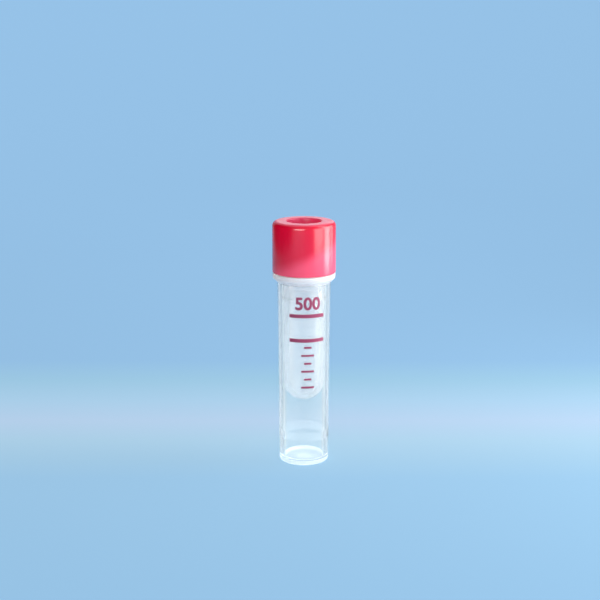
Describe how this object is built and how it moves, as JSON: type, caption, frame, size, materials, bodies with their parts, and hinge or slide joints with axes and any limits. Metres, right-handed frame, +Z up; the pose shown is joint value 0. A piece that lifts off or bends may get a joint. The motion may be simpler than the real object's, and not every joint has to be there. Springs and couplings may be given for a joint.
{
  "type": "blood collection tube",
  "caption": "Small screw-cap tube for capillary blood: a round-bottomed vessel hung in a clear flat-footed outer tube, closed by a red cap.",
  "frame": {"origin": "centre of the flat foot, in the plane that the tube stands on", "axes": "+Z up along the tube's axis, -Y towards the printed fill marks, right-handed"},
  "size_m": [0.0128, 0.0128, 0.0502],
  "materials": {
    "clear_polypropylene": "clarified polypropylene, polished mould",
    "natural_polypropylene": "natural polypropylene, faintly milky",
    "silicone": "soft translucent silicone",
    "red_polyethylene": "translucent red polyethylene, satin"
  },
  "bodies": {
    "tube": {"outer_tube": "clear_polypropylene", "inner_vessel": "natural_polypropylene"},
    "seal": {"seal_ring": "silicone"},
    "cap": {"screw_cap": "red_polyethylene"}
  },
  "joints": [
    {"name": "cap_lift", "type": "slide", "parent": "tube", "child": "seal", "axis": [0, 0, 1], "range_m": [0, 0.0088]},
    {"name": "cap_turn", "type": "hinge", "parent": "seal", "child": "cap", "pos_m": [0, 0, 0.045], "axis": [0, 0, 1], "range_deg": [0, 720]}
  ],
  "couplings": [
    {"joint": "cap_turn", "follows": "cap_lift", "rad_per_m": 1428}
  ]
}
